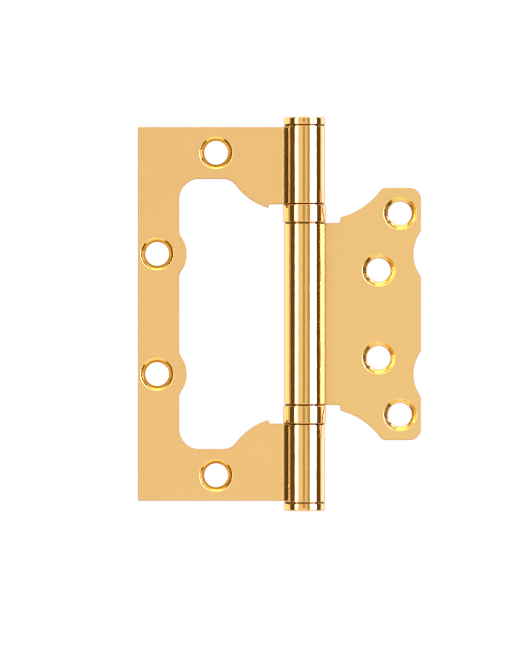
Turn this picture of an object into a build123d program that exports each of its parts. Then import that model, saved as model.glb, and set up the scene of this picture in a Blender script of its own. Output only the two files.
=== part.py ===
from build123d import *
import os
from math import asin, atan2, degrees, sqrt

# Flush door hinge, lying flat open, in millimetres. The frame leaf reaches towards -X, the door leaf
# towards +X, the pin stands along Z and the countersunk side faces -Y. The origin is midway between
# the frame leaf's two edge screws, on the face that lies against the door frame.

# Sheet, pin and rolled knuckles
SHEET = 2.5
PIN_DIAMETER = 5.9
PIN_CLEARANCE = 0.04
BEND_RADIUS = 2.75
SEAM_GAP = 0.25
RIM_CHAMFER = 0.35

# Frame leaf, with its reach counted from the pin axis
LEAF_HEIGHT = 100.0
FRAME_REACH = 44.6
SIDE_BAR = 11.0
END_BAR = 13.8
FRAME_KNUCKLE = 21.2
KNUCKLE_PROUD = 0.6

# Outline that the door leaf and the cut-out share, a nesting gap apart
NEST_GAP = 2.4
TONGUE_CORNER = 3.0
STEP_REACH = 9.65
STEP_ROUND = 0.7
LOBE_RADIUS = 16.8
LOBE_REACH = 4.9
LOBE_TIP_DROP = 1.0
LOBE_BLEND = 1.9
BOSS_RADIUS = 7.9
BOSS_BLEND = 0.6

# Countersunk screw holes
HOLE_DIAMETER = 6.4
SINK_DIAMETER = 8.8
SINK_ANGLE = 90
EDGE_HOLE_INSET = 5.1
EDGE_HOLE_SPACING = 32.2
END_HOLE_REACH = 23.7
END_HOLE_INSET = 6.8
TIP_HOLE_INSET = 5.6
TIP_HOLE_DROP = 6.8
ROOT_HOLE_REACH = 19.9
ROOT_HOLE_SPACING = 23.5

# End caps
CAP_PROUD = 0.06
CAP_HEIGHT = 2.1
CAP_CHAMFER = 0.35
SPIGOT_LENGTH = 4.0
SPIGOT_CLEARANCE = 0.02
PIN_CHAMFER = 0.4

# Ball bearings
BEARING_HEIGHT = 5.0
SHELL_PROUD = 0.26
SHELL_WALL = 0.45
SHELL_CHAMFER = 0.35
SHELL_LIFT = 0.1
RACE_BORE_CLEARANCE = 0.05
RACE_SEAT_CLEARANCE = 0.02
RACE_RUN_CLEARANCE = 0.08
BALL_COUNT = 5
BALL_CLEARANCE = 0.02
CAGE_THICKNESS = 0.6
CAGE_RIM = 0.27
POCKET_CLEARANCE = 0.05

# Places worked out from the sizes above
PIN_RADIUS = PIN_DIAMETER / 2
BORE_RADIUS = PIN_RADIUS + PIN_CLEARANCE
BARREL_RADIUS = BORE_RADIUS + SHEET
LEAF_END = LEAF_HEIGHT / 2
BARREL_END = LEAF_END + KNUCKLE_PROUD
FRAME_KNUCKLE_START = BARREL_END - FRAME_KNUCKLE
DOOR_KNUCKLE_END = FRAME_KNUCKLE_START - BEARING_HEIGHT
EDGE_HOLE_REACH = FRAME_REACH - EDGE_HOLE_INSET
DOOR_REACH = FRAME_REACH - SIDE_BAR - NEST_GAP
DOOR_END = LEAF_END - END_BAR - NEST_GAP
LOBE_TIP = FRAME_KNUCKLE_START - LOBE_TIP_DROP
LOBE_HEIGHT = LOBE_TIP + sqrt(LOBE_RADIUS**2 - (STEP_REACH - LOBE_REACH) ** 2)

# The swage is an arc that touches both the leaf's face and the knuckle's outside
SWAGE_HEIGHT = SHEET + BEND_RADIUS
SWAGE_REACH = sqrt((BARREL_RADIUS + BEND_RADIUS) ** 2 - SWAGE_HEIGHT**2)
SWAGE_ANGLE = degrees(atan2(SWAGE_HEIGHT, SWAGE_REACH))
ROLL_ANGLE = 360 - SWAGE_ANGLE - degrees(asin(SEAM_GAP / BARREL_RADIUS))

# Section planes look along the pin with X from the pin to the leaf's edge, outline planes lie in the
# pin's plane with the same X, and front planes carry the countersinks
PIN_POINT = (EDGE_HOLE_REACH, 0, 0)
PIN_AXIS = Axis(PIN_POINT, (0, 0, 1))
FRAME_SECTION = Plane(PIN_POINT, x_dir=(-1, 0, 0), z_dir=(0, 0, 1))
DOOR_SECTION = Plane(PIN_POINT, x_dir=(1, 0, 0), z_dir=(0, 0, 1))
FRAME_OUTLINE = Plane(PIN_POINT, x_dir=(-1, 0, 0), z_dir=(0, 1, 0))
DOOR_OUTLINE = Plane(PIN_POINT, x_dir=(1, 0, 0), z_dir=(0, -1, 0))
FRAME_FRONT = DOOR_OUTLINE.offset(SHEET)
DOOR_FRONT = DOOR_OUTLINE

os.makedirs("parts", exist_ok=True)


def leaf_section(plane, reach):
    """Flat sheet and the swage that lifts it to the start of the knuckle."""
    with BuildSketch(plane) as section:
        with BuildLine():
            centre = (SWAGE_REACH, SWAGE_HEIGHT)
            face = CenterArc(centre, BEND_RADIUS, 270, SWAGE_ANGLE - 90)
            back = CenterArc(centre, SWAGE_HEIGHT, 270, SWAGE_ANGLE - 90)
            Polyline(face @ 0, (reach, SHEET), (reach, 0), back @ 0)
            Line(face @ 1, back @ 1)
        make_face()
    return section.sketch


def knuckle(plane, length):
    """Rolled eye, from the end of the swage round to the seam, with broken rims."""
    with BuildPart() as eye:
        with BuildSketch(plane):
            with BuildLine():
                outside = CenterArc((0, 0), BARREL_RADIUS, SWAGE_ANGLE, ROLL_ANGLE)
                bore = CenterArc((0, 0), BORE_RADIUS, SWAGE_ANGLE, ROLL_ANGLE)
                Line(outside @ 0, bore @ 0)
                Line(outside @ 1, bore @ 1)
            make_face()
        extrude(amount=length)
        chamfer(eye.edges().filter_by(GeomType.CIRCLE).group_by(SortBy.RADIUS)[-1], RIM_CHAMFER)
    return eye.part


def tongue(plane, grow, knuckle_end):
    """The door leaf's outline, or with its gap grown on all sides, the frame leaf's cut-out."""
    reach = DOOR_REACH + grow
    end = DOOR_END + grow
    ease = NEST_GAP - grow
    boss = BOSS_RADIUS + ease
    with BuildSketch(plane) as outline:
        with Locations((STEP_REACH, 0)):
            Rectangle(reach - STEP_REACH, 2 * end, align=(Align.MIN, Align.CENTER))
        fillet(outline.vertices().group_by(Axis.X)[-1], TONGUE_CORNER + grow)
        with Locations((LOBE_REACH, LOBE_HEIGHT), (LOBE_REACH, -LOBE_HEIGHT)):
            Circle(LOBE_RADIUS + ease, mode=Mode.SUBTRACT)
        lobe_corners = outline.vertices().group_by(Axis.Y)
        fillet(lobe_corners[0].sort_by(Axis.X)[0], LOBE_BLEND + grow)
        lobe_corners = outline.vertices().group_by(Axis.Y)
        fillet(lobe_corners[-1].sort_by(Axis.X)[0], LOBE_BLEND + grow)
        with Locations((EDGE_HOLE_REACH, 0)):
            with GridLocations(0, EDGE_HOLE_SPACING, 1, 2):
                Circle(boss, mode=Mode.SUBTRACT)
        span = EDGE_HOLE_SPACING / 2 + boss
        edge_corners = outline.vertices().group_by(Axis.X)[-1]
        fillet(edge_corners.filter_by_position(Axis.Y, -span, span), BOSS_BLEND + grow)
        Rectangle(STEP_REACH, 2 * knuckle_end, align=(Align.MIN, Align.CENTER))
        step = outline.vertices().filter_by_position(Axis.Y, -knuckle_end, knuckle_end)
        fillet(step.filter_by_position(Axis.X, STEP_REACH, STEP_REACH), STEP_ROUND)
    return outline.sketch


def screw_pair(front, reach, spacing):
    """Two countersunk clearance holes, one above the other."""
    with Locations(front):
        with Locations((reach, 0)):
            with GridLocations(0, spacing, 1, 2):
                CounterSinkHole(HOLE_DIAMETER / 2, SINK_DIAMETER / 2, counter_sink_angle=SINK_ANGLE)


# Frame leaf: one stamping with a cut-out for the other leaf and, rolled at each end, a knuckle that
# stands a little past the leaf
with BuildPart() as frame_leaf:
    extrude(leaf_section(FRAME_SECTION, FRAME_REACH), LEAF_END, both=True)
    cut_out = tongue(FRAME_OUTLINE, NEST_GAP, FRAME_KNUCKLE_START)
    extrude(cut_out, BARREL_RADIUS, both=True, mode=Mode.SUBTRACT)
    add(knuckle(FRAME_SECTION.offset(FRAME_KNUCKLE_START), FRAME_KNUCKLE))
    add(knuckle(FRAME_SECTION.offset(-BARREL_END), FRAME_KNUCKLE))
    screw_pair(FRAME_FRONT, -EDGE_HOLE_REACH, EDGE_HOLE_SPACING)
    screw_pair(FRAME_FRONT, -END_HOLE_REACH, LEAF_HEIGHT - 2 * END_HOLE_INSET)
frame_leaf.part.label = "frame_leaf"
export_step(frame_leaf.part, "parts/frame_leaf.step")

# Door leaf: the same section turned half a turn about the pin, trimmed to the tongue
with BuildPart() as door_leaf:
    extrude(leaf_section(DOOR_SECTION, DOOR_REACH), LEAF_END, both=True)
    extrude(tongue(DOOR_OUTLINE, 0, DOOR_KNUCKLE_END), BARREL_RADIUS, both=True, mode=Mode.INTERSECT)
    add(knuckle(DOOR_SECTION.offset(-DOOR_KNUCKLE_END), 2 * DOOR_KNUCKLE_END))
    screw_pair(DOOR_FRONT, DOOR_REACH - TIP_HOLE_INSET, 2 * (DOOR_END - TIP_HOLE_DROP))
    screw_pair(DOOR_FRONT, ROOT_HOLE_REACH, ROOT_HOLE_SPACING)
door_leaf.part.label = "door_leaf"
export_step(door_leaf.part, "parts/door_leaf.step")

# Pin: plain round bar through the knuckles, from one cap's spigot to the other's
with BuildPart() as hinge_pin:
    with BuildSketch(DOOR_SECTION.offset(SPIGOT_LENGTH - BARREL_END)):
        Circle(PIN_RADIUS)
    extrude(amount=2 * (BARREL_END - SPIGOT_LENGTH))
    chamfer(hinge_pin.edges().filter_by(GeomType.CIRCLE), PIN_CHAMFER)
hinge_pin.part.label = "hinge_pin"
export_step(hinge_pin.part, "parts/hinge_pin.step")

# Caps: turned buttons that close the barrel, each pressed into its knuckle by a spigot
for cap_name, side in (("top_cap", 1), ("bottom_cap", -1)):
    half_plane = Plane((EDGE_HOLE_REACH, 0, side * BARREL_END), x_dir=(1, 0, 0), z_dir=(0, -side, 0))
    with BuildPart() as cap:
        with BuildSketch(half_plane) as section:
            Rectangle(BARREL_RADIUS + CAP_PROUD, CAP_HEIGHT, align=Align.MIN)
            chamfer(section.vertices().group_by(Axis.X)[-1], CAP_CHAMFER)
            Rectangle(BORE_RADIUS - SPIGOT_CLEARANCE, SPIGOT_LENGTH, align=(Align.MIN, Align.MAX))
        revolve(axis=PIN_AXIS)
    cap.part.label = cap_name
    export_step(cap.part, f"parts/{cap_name}.step")

# Bearings: two flat races, a ring of caged balls between them and a shell round all three. The ball is
# as large as the room between pin and shell leaves it.
shell_radius = BARREL_RADIUS + SHELL_PROUD
shell_bore = shell_radius - SHELL_WALL
race_bore = PIN_RADIUS + RACE_BORE_CLEARANCE
cage_bore = race_bore + RACE_RUN_CLEARANCE
cage_radius = shell_bore - RACE_RUN_CLEARANCE
pitch_radius = (cage_bore + cage_radius) / 2
pocket_radius = (cage_radius - cage_bore) / 2 - CAGE_RIM
ball_radius = pocket_radius - POCKET_CLEARANCE
ball_height = BEARING_HEIGHT / 2
race_height = ball_height - ball_radius - BALL_CLEARANCE

for end, side in (("upper", 1), ("lower", -1)):
    # The half plane holds the turned sections, with X out from the pin and Y away from the door knuckle
    foot = (EDGE_HOLE_REACH, 0, side * DOOR_KNUCKLE_END)
    half_plane = Plane(foot, x_dir=(1, 0, 0), z_dir=(0, -side, 0))
    ball_plane = Plane(foot, x_dir=(1, 0, 0), z_dir=(0, 0, side)).offset(ball_height)

    # Shell: a thin turned ring, held by the frame leaf's race and clear of the door knuckle
    with BuildPart() as bearing_shell:
        with BuildSketch(half_plane) as section:
            with Locations((shell_bore, SHELL_LIFT)):
                Rectangle(SHELL_WALL, BEARING_HEIGHT - SHELL_LIFT, align=Align.MIN)
            chamfer(section.vertices().group_by(Axis.X)[-1], SHELL_CHAMFER)
        revolve(axis=PIN_AXIS)
    bearing_shell.part.label = f"{end}_bearing_shell"
    export_step(bearing_shell.part, f"parts/{end}_bearing_shell.step")

    # Races: one washer on the door knuckle, free to turn in the shell, and one under the frame knuckle,
    # seated in the shell
    for owner, race_foot, clearance in (
        ("door", 0, RACE_RUN_CLEARANCE),
        ("frame", BEARING_HEIGHT - race_height, RACE_SEAT_CLEARANCE),
    ):
        with BuildPart() as race:
            with BuildSketch(half_plane):
                with Locations((race_bore, race_foot)):
                    Rectangle(shell_bore - clearance - race_bore, race_height, align=Align.MIN)
            revolve(axis=PIN_AXIS)
        race.part.label = f"{end}_{owner}_race"
        export_step(race.part, f"parts/{end}_{owner}_race.step")

    # Cage: a flat ring with a round pocket for each ball, guided by the shell
    with BuildPart() as ball_cage:
        with BuildSketch(ball_plane):
            Circle(cage_radius)
            Circle(cage_bore, mode=Mode.SUBTRACT)
            with PolarLocations(pitch_radius, BALL_COUNT):
                Circle(pocket_radius, mode=Mode.SUBTRACT)
        extrude(amount=CAGE_THICKNESS / 2, both=True)
    ball_cage.part.label = f"{end}_ball_cage"
    export_step(ball_cage.part, f"parts/{end}_ball_cage.step")

    # Balls: one in each pocket, running on both races
    for number, place in enumerate(PolarLocations(pitch_radius, BALL_COUNT).locations, start=1):
        with BuildPart(Plane(ball_plane.location * place)) as ball:
            Sphere(ball_radius)
        ball.part.label = f"{end}_ball_{number}"
        export_step(ball.part, f"parts/{end}_ball_{number}.step")
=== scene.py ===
from math import pi, radians

import bpy
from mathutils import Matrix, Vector


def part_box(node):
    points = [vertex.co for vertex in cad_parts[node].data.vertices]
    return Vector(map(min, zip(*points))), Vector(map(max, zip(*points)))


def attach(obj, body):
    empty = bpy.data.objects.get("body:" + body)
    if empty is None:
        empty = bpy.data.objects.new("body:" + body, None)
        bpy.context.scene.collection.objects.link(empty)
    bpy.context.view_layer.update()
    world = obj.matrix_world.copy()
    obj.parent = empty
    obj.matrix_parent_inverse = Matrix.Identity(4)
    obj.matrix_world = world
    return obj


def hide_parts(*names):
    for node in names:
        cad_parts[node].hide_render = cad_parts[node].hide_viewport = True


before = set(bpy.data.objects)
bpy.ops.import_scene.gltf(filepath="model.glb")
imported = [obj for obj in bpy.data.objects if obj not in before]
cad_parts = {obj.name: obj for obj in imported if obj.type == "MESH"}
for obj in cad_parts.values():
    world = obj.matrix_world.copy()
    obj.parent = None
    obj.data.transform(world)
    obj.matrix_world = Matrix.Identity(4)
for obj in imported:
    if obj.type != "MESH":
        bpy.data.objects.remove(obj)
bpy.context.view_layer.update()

# Hinge pin
# A plain bar of ground steel through all three knuckles, held between the spigots of the two caps.
# The grinding wheel leaves fine rings round it, which break up its shine.
MM = 0.001
STEEL = (0.36, 0.355, 0.35, 1.0)
PIN_ROUGHNESS = 0.2
PIN_RING_ROUGHNESS = 0.16
GRINDING_SPACING = 0.12 * MM
GRINDING_DEPTH = 0.002 * MM
NOISE_DETAIL = 2.0
pin_low, pin_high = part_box("hinge_pin")
PIN_X = (pin_low.x + pin_high.x) / 2


class Socket:
    """An output in a node tree that takes part in Python's arithmetic."""

    def __init__(self, finish, plug):
        self.finish, self.plug = finish, plug

    def __add__(self, other):
        return self.finish.math("ADD", self, other)

    def __sub__(self, other):
        return self.finish.math("SUBTRACT", self, other)

    def __rsub__(self, other):
        return self.finish.math("SUBTRACT", other, self)

    def __mul__(self, other):
        return self.finish.math("MULTIPLY", self, other)

    def __pow__(self, other):
        return self.finish.math("POWER", self, other)

    def __abs__(self):
        return self.finish.math("ABSOLUTE", self)

    __radd__, __rmul__ = __add__, __mul__


class Finish:
    """The nodes of one material, or of the studio's surroundings."""

    def __init__(self, owner):
        owner.use_nodes = True
        self.owner, self.tree = owner, owner.node_tree

    def put(self, sockets, values):
        for key, value in values.items():
            if isinstance(value, Socket):
                self.tree.links.new(value.plug, sockets[key])
            else:
                sockets[key].default_value = value

    def node(self, kind, settings, values, output=0):
        made = self.tree.nodes.new("ShaderNode" + kind)
        for key, value in settings.items():
            setattr(made, key, value)
        self.put(made.inputs, values)
        return Socket(self, made.outputs[output])

    def math(self, operation, *values):
        return self.node("Math", {"operation": operation}, dict(enumerate(values)))

    def place(self, part):
        """One coordinate of the point being shaded, in the hinge's own frame."""
        spot = self.node("TexCoord", {}, {}, "Object")
        return self.node("SeparateXYZ", {}, {"Vector": spot}, part)

    def cloud(self, size, detail=NOISE_DETAIL):
        """Even noise, as wide as the size given, from 0 to 1."""
        spot = self.node("TexCoord", {}, {}, "Object")
        return self.node("TexNoise", {}, {"Vector": spot, "Scale": 1 / size, "Detail": detail})

    def step(self, value, low, high):
        """Goes smoothly from 0 at low to 1 at high, also where high is the smaller."""
        ends = {"Value": value, "From Min": low, "From Max": high}
        return self.node("MapRange", {"interpolation_type": "SMOOTHSTEP"}, ends)

    def mix(self, share, first, second):
        """Two colours blended by a share. The numbers are the Mix node's sockets for colours."""
        return self.node("Mix", {"data_type": "RGBA"}, {0: share, 6: first, 7: second}, 2)

    def relief(self, height, depth):
        return self.node("Bump", {}, {"Height": height, "Distance": depth, "Strength": 1.0})

    def surface(self, values):
        self.put(self.tree.nodes["Principled BSDF"].inputs, values)


def pin_distance(finish):
    """How far the point being shaded lies from the middle of the pin."""
    return ((finish.place("X") - PIN_X) ** 2 + finish.place("Y") ** 2) ** 0.5


def turning_rings(finish, spacing):
    """Noise drawn out round the pin, as a turning tool or a grinding wheel leaves it."""
    spot = finish.node("CombineXYZ", {}, {"X": pin_distance(finish), "Z": finish.place("Z")})
    return finish.node("TexNoise", {}, {"Vector": spot, "Scale": 1 / spacing, "Detail": NOISE_DETAIL})


def coat(node_name, finish):
    """Puts a finish on a solid that keeps its own form."""
    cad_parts[node_name].material_slots[0].material = finish.owner


ground_steel = Finish(bpy.data.materials.new("ground_steel"))
pin_rings = turning_rings(ground_steel, GRINDING_SPACING)
ground_steel.surface({
    "Base Color": STEEL,
    "Metallic": 1.0,
    "Roughness": PIN_ROUGHNESS + PIN_RING_ROUGHNESS * pin_rings,
    "Normal": ground_steel.relief(pin_rings, GRINDING_DEPTH),
})
coat("hinge_pin", ground_steel)

# Races and balls of the two bearings
# Two hardened washers in each bearing, with five balls between them, all of through-hardened bearing
# steel. They are lapped bright; where a joint opens to the outside they go brown, partly from old oil and
# partly as painted shade in the gap.
BEARING_STEEL = (0.46, 0.47, 0.49, 1.0)
BEARING_STEEL_WORN = (0.38, 0.38, 0.39, 1.0)
LAPPED_ROUGHNESS = 0.07
LAPPED_HAZE_ROUGHNESS = 0.1
LAPPED_HAZE_SIZE = 0.6 * MM
# Brown in the joints: partly old oil, partly painted shade in the gaps between the parts.
OIL_AND_SHADE_BROWN = (0.2, 0.085, 0.015, 1.0)
OIL_AND_SHADE_REACH = 0.34 * MM
BARREL_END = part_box("frame_leaf")[1].z
SHELL_FOOT, SHELL_HEAD = (corner.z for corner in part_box("upper_bearing_shell"))


# This mask lays brown into the joints, partly for old oil and partly as painted shade in the gaps.
def joint_oil_and_shade(finish):
    """1 in the joints between knuckles, shells and caps, and 0 a little way from them."""
    height = abs(finish.place("Z"))
    beside = [abs(height - joint) for joint in (SHELL_FOOT, SHELL_HEAD, BARREL_END)]
    nearest = finish.math("MINIMUM", finish.math("MINIMUM", *beside[:2]), beside[2])
    return finish.step(nearest, OIL_AND_SHADE_REACH, 0.0)


lapped_steel = Finish(bpy.data.materials.new("lapped_bearing_steel"))
lapped_haze = lapped_steel.cloud(LAPPED_HAZE_SIZE)
lapped_colour = lapped_steel.mix(lapped_haze, BEARING_STEEL, BEARING_STEEL_WORN)
lapped_steel.surface({
    # Brown at the joints: old oil and painted shade.
    "Base Color": lapped_steel.mix(joint_oil_and_shade(lapped_steel), lapped_colour, OIL_AND_SHADE_BROWN),
    "Metallic": 1.0,
    "Roughness": LAPPED_ROUGHNESS + LAPPED_HAZE_ROUGHNESS * lapped_haze,
})
# The balls are the nodes whose names end in a number.
for node_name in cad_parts:
    if node_name.endswith("_race") or node_name[-1].isdigit():
        coat(node_name, lapped_steel)

# Ball cages
# A flat ring stamped from bare brass strip, with a round pocket for each ball. It lies loose between
# the races, and goes round with the balls at half the leaf's speed.
ENDS = ("upper", "lower")
CAGE_BRASS = (0.56, 0.36, 0.1, 1.0)
CAGE_BRASS_DULL = (0.42, 0.25, 0.07, 1.0)
BRASS_ROUGHNESS = 0.25
BRASS_HAZE_ROUGHNESS = 0.2
BRASS_HAZE_SIZE = 0.9 * MM
BRASS_HAZE_DETAIL = 4.0

bare_brass = Finish(bpy.data.materials.new("bare_brass"))
brass_haze = bare_brass.cloud(BRASS_HAZE_SIZE, BRASS_HAZE_DETAIL)
bare_brass.surface({
    "Base Color": bare_brass.mix(brass_haze, CAGE_BRASS, CAGE_BRASS_DULL),
    "Metallic": 1.0,
    "Roughness": BRASS_ROUGHNESS + BRASS_HAZE_ROUGHNESS * brass_haze,
})
for end in ENDS:
    coat(f"{end}_ball_cage", bare_brass)

# Bearing shells
# A thin turned steel ring round each bearing, a little prouder than the knuckles and rounded at both
# rims. It is bright plated like the leaves, and the joints beside it are brown, partly from old oil and
# partly as painted shade in the gap.
SHELL_WALL = 0.45 * MM
SHELL_RIM = 0.4 * MM
SHELL_RIM_STEPS = 6
ROUND_SIDES = 128
END_FACE = 0.9
SHARP_ANGLE = radians(40)
GOLD_BRIGHT = (0.87, 0.52, 0.165, 1.0)
GOLD_BRIGHT_DEEP = (0.84, 0.48, 0.14, 1.0)
TURNED_SHADE_SIZE = 4 * MM
TURNED_ROUGHNESS = 0.04
LATHE_ROUGHNESS = 0.04
DULL_ROUGHNESS = 0.2
LATHE_SPACING = 0.16 * MM
LATHE_DEPTH = 0.0006 * MM


def start_modelling(piece):
    bpy.ops.object.select_all(action="DESELECT")
    piece.select_set(True)
    bpy.context.view_layer.objects.active = piece
    bpy.ops.object.mode_set(mode="EDIT")
    bpy.ops.mesh.select_all(action="SELECT")


def pick_edges(piece, wanted):
    """Leaves only those edges selected whose two ends both pass the test."""
    bpy.ops.mesh.select_mode(type="EDGE")
    bpy.ops.mesh.select_all(action="DESELECT")
    bpy.ops.object.mode_set(mode="OBJECT")
    points = piece.data.vertices
    for edge in piece.data.edges:
        edge.select = all(wanted(points[end].co) for end in edge.vertices)
    bpy.ops.object.mode_set(mode="EDIT")


def pick_faces(piece, wanted):
    """Leaves only those faces selected whose middle and normal pass the test."""
    bpy.ops.mesh.select_mode(type="FACE")
    bpy.ops.mesh.select_all(action="DESELECT")
    bpy.ops.object.mode_set(mode="OBJECT")
    for face in piece.data.polygons:
        face.select = wanted(face.center, face.normal)
    bpy.ops.object.mode_set(mode="EDIT")


def end_modelling(piece):
    """Puts the place into the mesh, smooths the shading and keeps flat faces flat."""
    bpy.ops.object.mode_set(mode="OBJECT")
    bpy.ops.object.transform_apply(location=True, rotation=True, scale=True)
    bpy.ops.object.shade_smooth_by_angle(angle=SHARP_ANGLE)
    piece.modifiers.new("flat_faces", "WEIGHTED_NORMAL").keep_sharp = True
    bpy.ops.object.modifier_apply(modifier="flat_faces")


turned_plate = Finish(bpy.data.materials.new("bright_plate_on_turnings"))
lathe_rings = turning_rings(turned_plate, LATHE_SPACING)
# Brown at the joints beside the shells and caps: old oil and painted shade.
turned_oil_and_shade = joint_oil_and_shade(turned_plate)
turned_gold = turned_plate.mix(turned_plate.cloud(TURNED_SHADE_SIZE), GOLD_BRIGHT, GOLD_BRIGHT_DEEP)
turned_plate.surface({
    "Base Color": turned_plate.mix(turned_oil_and_shade, turned_gold, OIL_AND_SHADE_BROWN),
    "Metallic": 1.0,
    "Roughness": TURNED_ROUGHNESS + LATHE_ROUGHNESS * lathe_rings + DULL_ROUGHNESS * turned_oil_and_shade,
    "Normal": turned_plate.relief(lathe_rings, LATHE_DEPTH),
})

for end in ENDS:
    shell_low, shell_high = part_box(f"{end}_bearing_shell")
    shell_radius = (shell_high.x - shell_low.x) / 2
    shell_height = shell_high.z - shell_low.z
    bpy.ops.object.select_all(action="DESELECT")
    bpy.ops.mesh.primitive_cylinder_add(
        vertices=ROUND_SIDES, radius=shell_radius, depth=shell_height,
        location=(shell_low + shell_high) / 2)
    shell = bpy.context.object
    shell.name = f"{end}_bearing_ring"
    start_modelling(shell)
    pick_faces(shell, lambda middle, normal: abs(normal.z) > END_FACE)
    bpy.ops.mesh.inset(thickness=SHELL_WALL, use_individual=True)
    pick_faces(shell, lambda middle, normal: (
        abs(normal.z) > END_FACE and middle.xy.length < shell_radius / 2))
    bpy.ops.mesh.bridge_edge_loops()
    for up in (1, -1):
        pick_edges(shell, lambda point: (
            point.xy.length > shell_radius - SHELL_WALL / 2
            and up * point.z > (shell_height - SHELL_RIM) / 2))
        bpy.ops.mesh.bevel(offset=SHELL_RIM, segments=SHELL_RIM_STEPS, affect="EDGES")
    end_modelling(shell)
    shell.data.materials.append(turned_plate.owner)
    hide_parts(f"{end}_bearing_shell")
    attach(shell, "frame_side")

# Frame leaf
# One stamping of 2.5 mm steel, screwed to the door frame, with a cut-out for the other leaf and a knuckle
# rolled at each end. The press rolls its edges over slightly, and the bright brass plating lies thicker on
# them; their deep orange colour is painted shade. Its countersinks are polished, and dished a little at
# their feet, and their brighter, more orange gold is painted reflection.
GOLD = (0.842, 0.53, 0.182, 1.0)
GOLD_DEEP = (0.822, 0.504, 0.167, 1.0)
# Rolled edges: darkened to a deep orange as painted shade, on thicker plating.
GOLD_EDGE_SHADED = (0.58, 0.3, 0.055, 1.0)
GOLD_EDGE_WORN_SHADED = (0.66, 0.37, 0.08, 1.0)
# Countersinks: brighter and more orange than the flats, which is painted reflection.
GOLD_SINK = (0.94, 0.595, 0.12, 1.0)
# The sheared walls are duller, and their colour is darkened further as painted shade.
GOLD_SHEARED_SHADED = (0.36, 0.21, 0.065, 1.0)
# Painted shade: a dark brown line down the front of the crease where the swage meets the knuckle.
CREASE_SHADE_BROWN = (0.09, 0.036, 0.003, 1.0)
SHEET_SHADE_SIZE = 14 * MM
EDGE_SHADE_SIZE = 2 * MM
GRAIN_SIZE = 0.25 * MM
PEEL_SIZE = 3.5 * MM
PEEL_DEPTH = 0.03 * MM
FLAT_ROUGHNESS = 0.31
BARREL_POLISH = 0.26
SINK_POLISH = 0.23
GRAIN_ROUGHNESS = 0.05
EDGE_ROUGHNESS = 0.8
EDGE_GRAIN_ROUGHNESS = 0.1
EDGE_ROLL = 0.18 * MM
RIM_ROLL = 0.09 * MM
ROLL_STEPS = 3
SQUARE_CORNER = radians(60)
BLUNT_CORNER = radians(35)
EDGE_SLOT = 1
SLOT_BESIDE = -1
FRAME_SINK_FOOT = -1.3 * MM
FRAME_SINK_DISH = 0.035 * MM
KNUCKLE_REACH = 10 * MM
CORNER_ROOM = 0.8 * MM
FRAME_CUTS = (BARREL_END - 2 * CORNER_ROOM, SHELL_HEAD + CORNER_ROOM)
SAME_POINT = 0.001 * MM
SAME_PLANE = radians(0.5)
BARREL_RADIUS = 5.49 * MM
POLISH_EDGE = 0.02 * MM
CREASE_START = 0.45 * MM
CREASE_END = 1.0 * MM
CREASE_FRONT = 2.0 * MM
CREASE_FRONT_FULL = 2.2 * MM
# How squarely a face looks to the front or back, where a sheared wall and a countersink begin and are full.
SHEARED_FACING = (0.3, 0.1)
SINK_FACING_LOW = (0.55, 0.65)
SINK_FACING_HIGH = (0.85, 0.75)

# The rolled edges' own finish, whose deep orange is painted shade.
rolled_plate_and_shade = Finish(bpy.data.materials.new("thick_plate_and_shade_on_rolled_edges"))
rolled_plate_and_shade.surface({
    "Base Color": rolled_plate_and_shade.mix(rolled_plate_and_shade.cloud(EDGE_SHADE_SIZE), GOLD_EDGE_SHADED, GOLD_EDGE_WORN_SHADED),
    "Metallic": 1.0,
    "Roughness": EDGE_ROUGHNESS + EDGE_GRAIN_ROUGHNESS * rolled_plate_and_shade.cloud(GRAIN_SIZE),
})


def round_corners(piece, width, corner, slot):
    """Rounds each edge that turns by more than the corner, in the finish of a slot or of the faces beside."""
    rounding = piece.modifiers.new("rounding", "BEVEL")
    rounding.width, rounding.segments, rounding.material = width, ROLL_STEPS, slot
    rounding.limit_method, rounding.angle_limit = "ANGLE", corner
    rounding.use_clamp_overlap = False
    bpy.ops.object.modifier_apply(modifier="rounding")


def stamping(node_name, name, sink_foot, sink_dish, knuckle_cuts, face_finish):
    """The solid's own form, with its countersinks dished, its square edges rolled over and its rims broken.

    The knuckles' long strips are cut across near their ends, so that the rounded corners there don't tilt
    the rest of a strip.
    """
    piece = bpy.data.objects.new(name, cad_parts[node_name].data.copy())
    bpy.context.scene.collection.objects.link(piece)
    piece.data.materials.clear()
    for finish in (face_finish, rolled_plate_and_shade):
        piece.data.materials.append(finish.owner)
    start_modelling(piece)
    bpy.ops.mesh.remove_doubles(threshold=SAME_POINT)
    bpy.ops.mesh.dissolve_limited(angle_limit=SAME_PLANE)
    pick_edges(piece, lambda point: (
        abs(point.y - sink_foot) < SAME_POINT and abs(point.x - PIN_X) > KNUCKLE_REACH))
    bpy.ops.transform.translate(value=(0, -sink_dish, 0))
    for height in [up * cut for cut in knuckle_cuts for up in (1, -1)]:
        pick_faces(piece, lambda middle, normal: (
            abs(middle.x - PIN_X) < KNUCKLE_REACH and abs(normal.z) < SAME_PLANE))
        bpy.ops.mesh.bisect(plane_co=(0, 0, height), plane_no=(0, 0, 1))
    bpy.ops.object.mode_set(mode="OBJECT")
    bpy.ops.mesh.customdata_custom_splitnormals_clear()
    round_corners(piece, EDGE_ROLL, SQUARE_CORNER, EDGE_SLOT)
    round_corners(piece, RIM_ROLL, BLUNT_CORNER, SLOT_BESIDE)
    start_modelling(piece)
    bpy.ops.mesh.remove_doubles(threshold=SAME_POINT)
    end_modelling(piece)
    return piece


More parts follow.
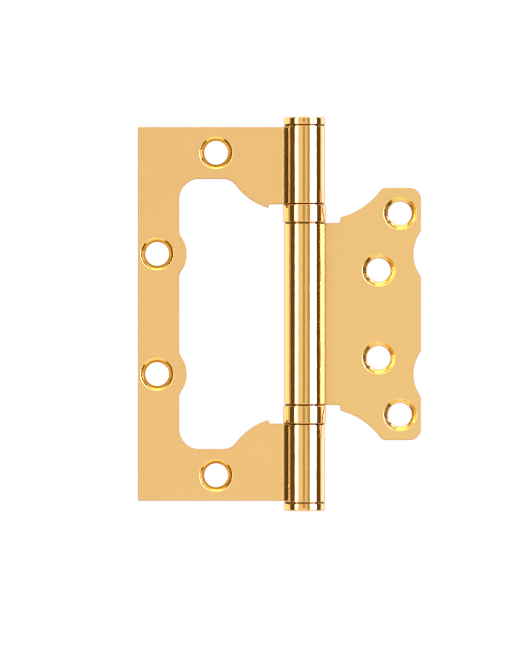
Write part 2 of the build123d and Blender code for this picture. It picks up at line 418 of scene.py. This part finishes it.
def sheet_plate(name, gold, gold_deep):
    """Bright plate that is mirror smooth on the rolled knuckle and a little softer on the flat."""
    finish = Finish(bpy.data.materials.new(name))
    beyond = pin_distance(finish) - BARREL_RADIUS
    barrel = finish.step(beyond, 2 * POLISH_EDGE, POLISH_EDGE)
    # Painted shade in the crease between the knuckle and the swage, on the front only.
    crease_shade = (1 - barrel) * finish.step(beyond, CREASE_END, CREASE_START)
    crease_shade = crease_shade * finish.step(abs(finish.place("Y")), CREASE_FRONT, CREASE_FRONT_FULL)
    facing = finish.node("TexCoord", {}, {}, "Normal")
    facing = abs(finish.node("SeparateXYZ", {}, {"Vector": facing}, "Y"))
    # Sheared walls: dull, and darkened as painted shade.
    sheared = finish.step(facing, *SHEARED_FACING) * (1 - barrel)
    # Countersinks: their brighter, more orange gold is painted reflection.
    sink = finish.step(facing, *SINK_FACING_LOW) * finish.step(facing, *SINK_FACING_HIGH) * (1 - barrel)
    # Brown at the joints along the barrel: old oil and painted shade.
    leaf_oil_and_shade = joint_oil_and_shade(finish) * barrel
    grain = finish.cloud(GRAIN_SIZE)
    leaf_gold = finish.mix(finish.cloud(SHEET_SHADE_SIZE), gold, gold_deep)
    leaf_gold = finish.mix(barrel, leaf_gold, GOLD_BRIGHT)
    leaf_gold = finish.mix(sheared, leaf_gold, GOLD_SHEARED_SHADED)
    leaf_gold = finish.mix(sink, leaf_gold, GOLD_SINK)
    leaf_gold = finish.mix(crease_shade, leaf_gold, CREASE_SHADE_BROWN)
    finish.surface({
        "Base Color": finish.mix(leaf_oil_and_shade, leaf_gold, OIL_AND_SHADE_BROWN),
        "Metallic": 1.0,
        "Roughness": (
            FLAT_ROUGHNESS - BARREL_POLISH * barrel - SINK_POLISH * sink
            + GRAIN_ROUGHNESS * grain * (1 - barrel) + DULL_ROUGHNESS * (sheared + leaf_oil_and_shade + crease_shade)),
        "Normal": finish.relief(finish.cloud(PEEL_SIZE), PEEL_DEPTH),
    })
    return finish


frame_plate = sheet_plate("bright_plate_on_frame_leaf", GOLD, GOLD_DEEP)
frame_leaf = stamping(
    "frame_leaf", "plated_frame_leaf", FRAME_SINK_FOOT, FRAME_SINK_DISH, FRAME_CUTS, frame_plate)
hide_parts("frame_leaf")
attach(frame_leaf, "frame_side")

# Door leaf
# The smaller stamping, which nests in the cut-out when the door is shut, with one long knuckle in the
# middle of the barrel. Its gold is a shade paler than the frame leaf's.
GOLD_PALE = (0.838, 0.545, 0.186, 1.0)
GOLD_PALE_DEEP = (0.818, 0.519, 0.171, 1.0)
DOOR_SINK_FOOT = 1.2 * MM
DOOR_SINK_DISH = 0.17 * MM
DOOR_CUTS = (SHELL_FOOT - CORNER_ROOM,)

door_plate = sheet_plate("bright_plate_on_door_leaf", GOLD_PALE, GOLD_PALE_DEEP)
door_leaf = stamping(
    "door_leaf", "plated_door_leaf", DOOR_SINK_FOOT, DOOR_SINK_DISH, DOOR_CUTS, door_plate)
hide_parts("door_leaf")
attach(door_leaf, "door_side")

# End caps
# Turned buttons that close the barrel, plated like the shells, each with a spigot that sits in its
# knuckle. Both rims are rounded by the form tool, the outer one more than the foot.
CAP_RIM = 0.4 * MM
CAP_RIM_STEPS = 8
CAP_FOOT_RIM = 0.3 * MM
CAP_FOOT_STEPS = 5
SPIGOT_RADIUS = 2.97 * MM

for cap_name, up in (("top_cap", 1), ("bottom_cap", -1)):
    cap_low, cap_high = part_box(cap_name)
    cap_radius = (cap_high.x - cap_low.x) / 2
    cap_height = max(cap_high.z, -cap_low.z) - BARREL_END
    spigot_length = cap_high.z - cap_low.z - cap_height
    bpy.ops.object.select_all(action="DESELECT")
    bpy.ops.mesh.primitive_circle_add(
        vertices=ROUND_SIDES, radius=cap_radius, fill_type="NGON", location=(PIN_X, 0, up * BARREL_END))
    cap = bpy.context.object
    cap.name = f"turned_{cap_name}"
    start_modelling(cap)
    bpy.ops.mesh.extrude_region_move(TRANSFORM_OT_translate={"value": (0, 0, up * cap_height)})
    pick_edges(cap, lambda point: abs(point.z) > cap_height / 2)
    bpy.ops.mesh.bevel(offset=CAP_RIM, segments=CAP_RIM_STEPS, affect="EDGES")
    pick_faces(cap, lambda middle, normal: abs(middle.z) < SAME_POINT and abs(normal.z) > END_FACE)
    bpy.ops.mesh.inset(thickness=cap_radius - SPIGOT_RADIUS)
    bpy.ops.mesh.extrude_region_move(TRANSFORM_OT_translate={"value": (0, 0, -up * spigot_length)})
    pick_edges(cap, lambda point: (
        abs(point.z) < SAME_POINT and point.xy.length > (cap_radius + SPIGOT_RADIUS) / 2))
    bpy.ops.mesh.bevel(offset=CAP_FOOT_RIM, segments=CAP_FOOT_STEPS, affect="EDGES")
    bpy.ops.mesh.select_all(action="SELECT")
    bpy.ops.mesh.normals_make_consistent(inside=False)
    end_modelling(cap)
    cap.data.materials.append(turned_plate.owner)
    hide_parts(cap_name)
    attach(cap, "frame_side")

# Floor
# A small round table, painted pale, well below the hinge, which is held up by its screws in use. The
# paint shows near the middle, and further out it goes over into the white of the room.
FLOOR_DROP = 160 * MM
FLOOR_RADIUS = 150 * MM
FLOOR_PAINT = (0.7, 0.7, 0.7, 1.0)
FLOOR_ROUGHNESS = 0.7
FLOOR_SHINE = 0.2
WHITE = (1.0, 1.0, 1.0, 1.0)
FADE_START = 70 * MM
FADE_END = 140 * MM

bpy.ops.object.select_all(action="DESELECT")
bpy.ops.mesh.primitive_circle_add(
    vertices=ROUND_SIDES, radius=FLOOR_RADIUS, fill_type="NGON", location=(PIN_X, 0, -FLOOR_DROP))
floor = bpy.context.object
floor.name = "floor"
bpy.ops.object.transform_apply(location=True, rotation=True, scale=True)
pale_paint = Finish(bpy.data.materials.new("pale_paint"))
pale_paint.surface({
    "Base Color": FLOOR_PAINT,
    "Roughness": FLOOR_ROUGHNESS,
    "Specular IOR Level": FLOOR_SHINE,
})
white = pale_paint.node("Emission", {}, {"Color": WHITE, "Strength": 1.0})
paint = Socket(pale_paint, pale_paint.tree.nodes["Principled BSDF"].outputs[0])
far = pale_paint.step(pin_distance(pale_paint), FADE_START, FADE_END)
blend = pale_paint.node("MixShader", {}, {0: far, 1: paint, 2: white})
pale_paint.put(pale_paint.tree.nodes["Material Output"].inputs, {"Surface": blend})
floor.data.materials.append(pale_paint.owner)

# Studio
# A pale room with a tall soft light on either side of the camera, a cold window beside the right-hand one
# and dark gaps beyond them, which draw the long bands down the polished barrel. A curtain, a shade round
# the camera and shaded corners at the back draw the quieter bands. The camera itself sees plain white.
ROOM = (1.06, 1.06, 1.06, 1.0)
SOFT_LIGHT = (7.5, 7.8, 11.0, 1.0)
COLD_WINDOW = (8.0, 9.5, 24.0, 1.0)
DARK_GAP = (0.15, 0.1, 0.04, 1.0)
LEFT_WALL = (1.45, 1.45, 1.45, 1.0)
RIGHT_WALL = (1.5, 1.6, 2.4, 1.0)
CAMERA_SHADE = (0.56, 0.54, 0.5, 1.0)
BROWN_CURTAIN = (0.55, 0.5, 0.4, 1.0)
BACK_SHADE = (0.64, 0.58, 0.47, 1.0)
# Each row is a stretch of the horizon: from and to, in degrees to the right of the camera, the lowest
# sight line that meets it in full, and its colour.
STUDIO = (
    (-166, -150, -0.8, BACK_SHADE),
    (-150, -89, -0.15, LEFT_WALL),
    (-89, -54, -0.8, DARK_GAP),
    (-54, -39.5, -0.15, SOFT_LIGHT),
    (-11, 3.5, -0.03, CAMERA_SHADE),
    (15, 33, -0.15, BROWN_CURTAIN),
    (33, 45, -0.15, SOFT_LIGHT),
    (45, 68.5, -0.15, COLD_WINDOW),
    (68.5, 104, -0.8, DARK_GAP),
    (104, 150, -0.15, RIGHT_WALL),
    (150, 166, -0.8, BACK_SHADE),
)
BAND_EDGE = 3.5
BAND_FADE = 0.06
CEILING_FADE = (0.9, 0.6)

room = Finish(bpy.data.worlds.new("pale_studio"))
bpy.context.scene.world = room.owner
sight = room.node("TexCoord", {}, {}, "Generated")
sight_x, sight_y, sight_z = (room.node("SeparateXYZ", {}, {"Vector": sight}, part) for part in "XYZ")
turn = room.math("ARCTAN2", sight_x, 0 - sight_y) * (180 / pi)
below_ceiling = room.step(sight_z, *CEILING_FADE)
glow = ROOM
for start, end, lowest, colour in STUDIO:
    within = room.step(turn, start - BAND_EDGE, start + BAND_EDGE)
    within = within * room.step(turn, end + BAND_EDGE, end - BAND_EDGE)
    within = within * below_ceiling * room.step(sight_z, lowest - BAND_FADE, lowest)
    glow = room.mix(within, glow, colour)
seen = room.node("LightPath", {}, {}, "Is Camera Ray")
glow = room.mix(seen, glow, WHITE)
room.put(room.tree.nodes["Background"].inputs, {"Color": glow, "Strength": 1.0})

# Overhead lamp
# A square softbox above and in front of the hinge, a little to its left, aimed at the middle of the
# barrel. It lights the pieces and the table from above.
LAMP_POWER = 1.5
LAMP_SIZE = 700 * MM
LAMP_LEFT = 100 * MM
LAMP_FRONT = 300 * MM
LAMP_UP = 900 * MM

bpy.ops.object.light_add(type="AREA", location=(PIN_X - LAMP_LEFT, -LAMP_FRONT, LAMP_UP))
lamp = bpy.context.object
lamp.name = "overhead_softbox"
lamp.data.energy, lamp.data.size = LAMP_POWER, LAMP_SIZE
lamp.rotation_euler = Vector((LAMP_LEFT, LAMP_FRONT, -LAMP_UP)).to_track_quat("-Z", "Y").to_euler()

# Camera
# Square to the leaves, as in the photograph, a little to the left of the barrel and below its middle.
# A long lens from far off keeps the sides of the leaves upright.
CAMERA_DISTANCE = 1500 * MM
CAMERA_LEFT = 10.6 * MM
CAMERA_LOW = 2.28 * MM
CAMERA_LENS = 312.3
SENSOR_WIDTH = 36.0

bpy.ops.object.camera_add(
    location=(PIN_X - CAMERA_LEFT, -CAMERA_DISTANCE, -CAMERA_LOW), rotation=(radians(90), 0, 0))
camera = bpy.context.object
camera.name = "camera"
camera.data.sensor_width = SENSOR_WIDTH
camera.data.lens = CAMERA_LENS
bpy.context.scene.camera = camera
bpy.context.scene.view_settings.view_transform = "Standard"
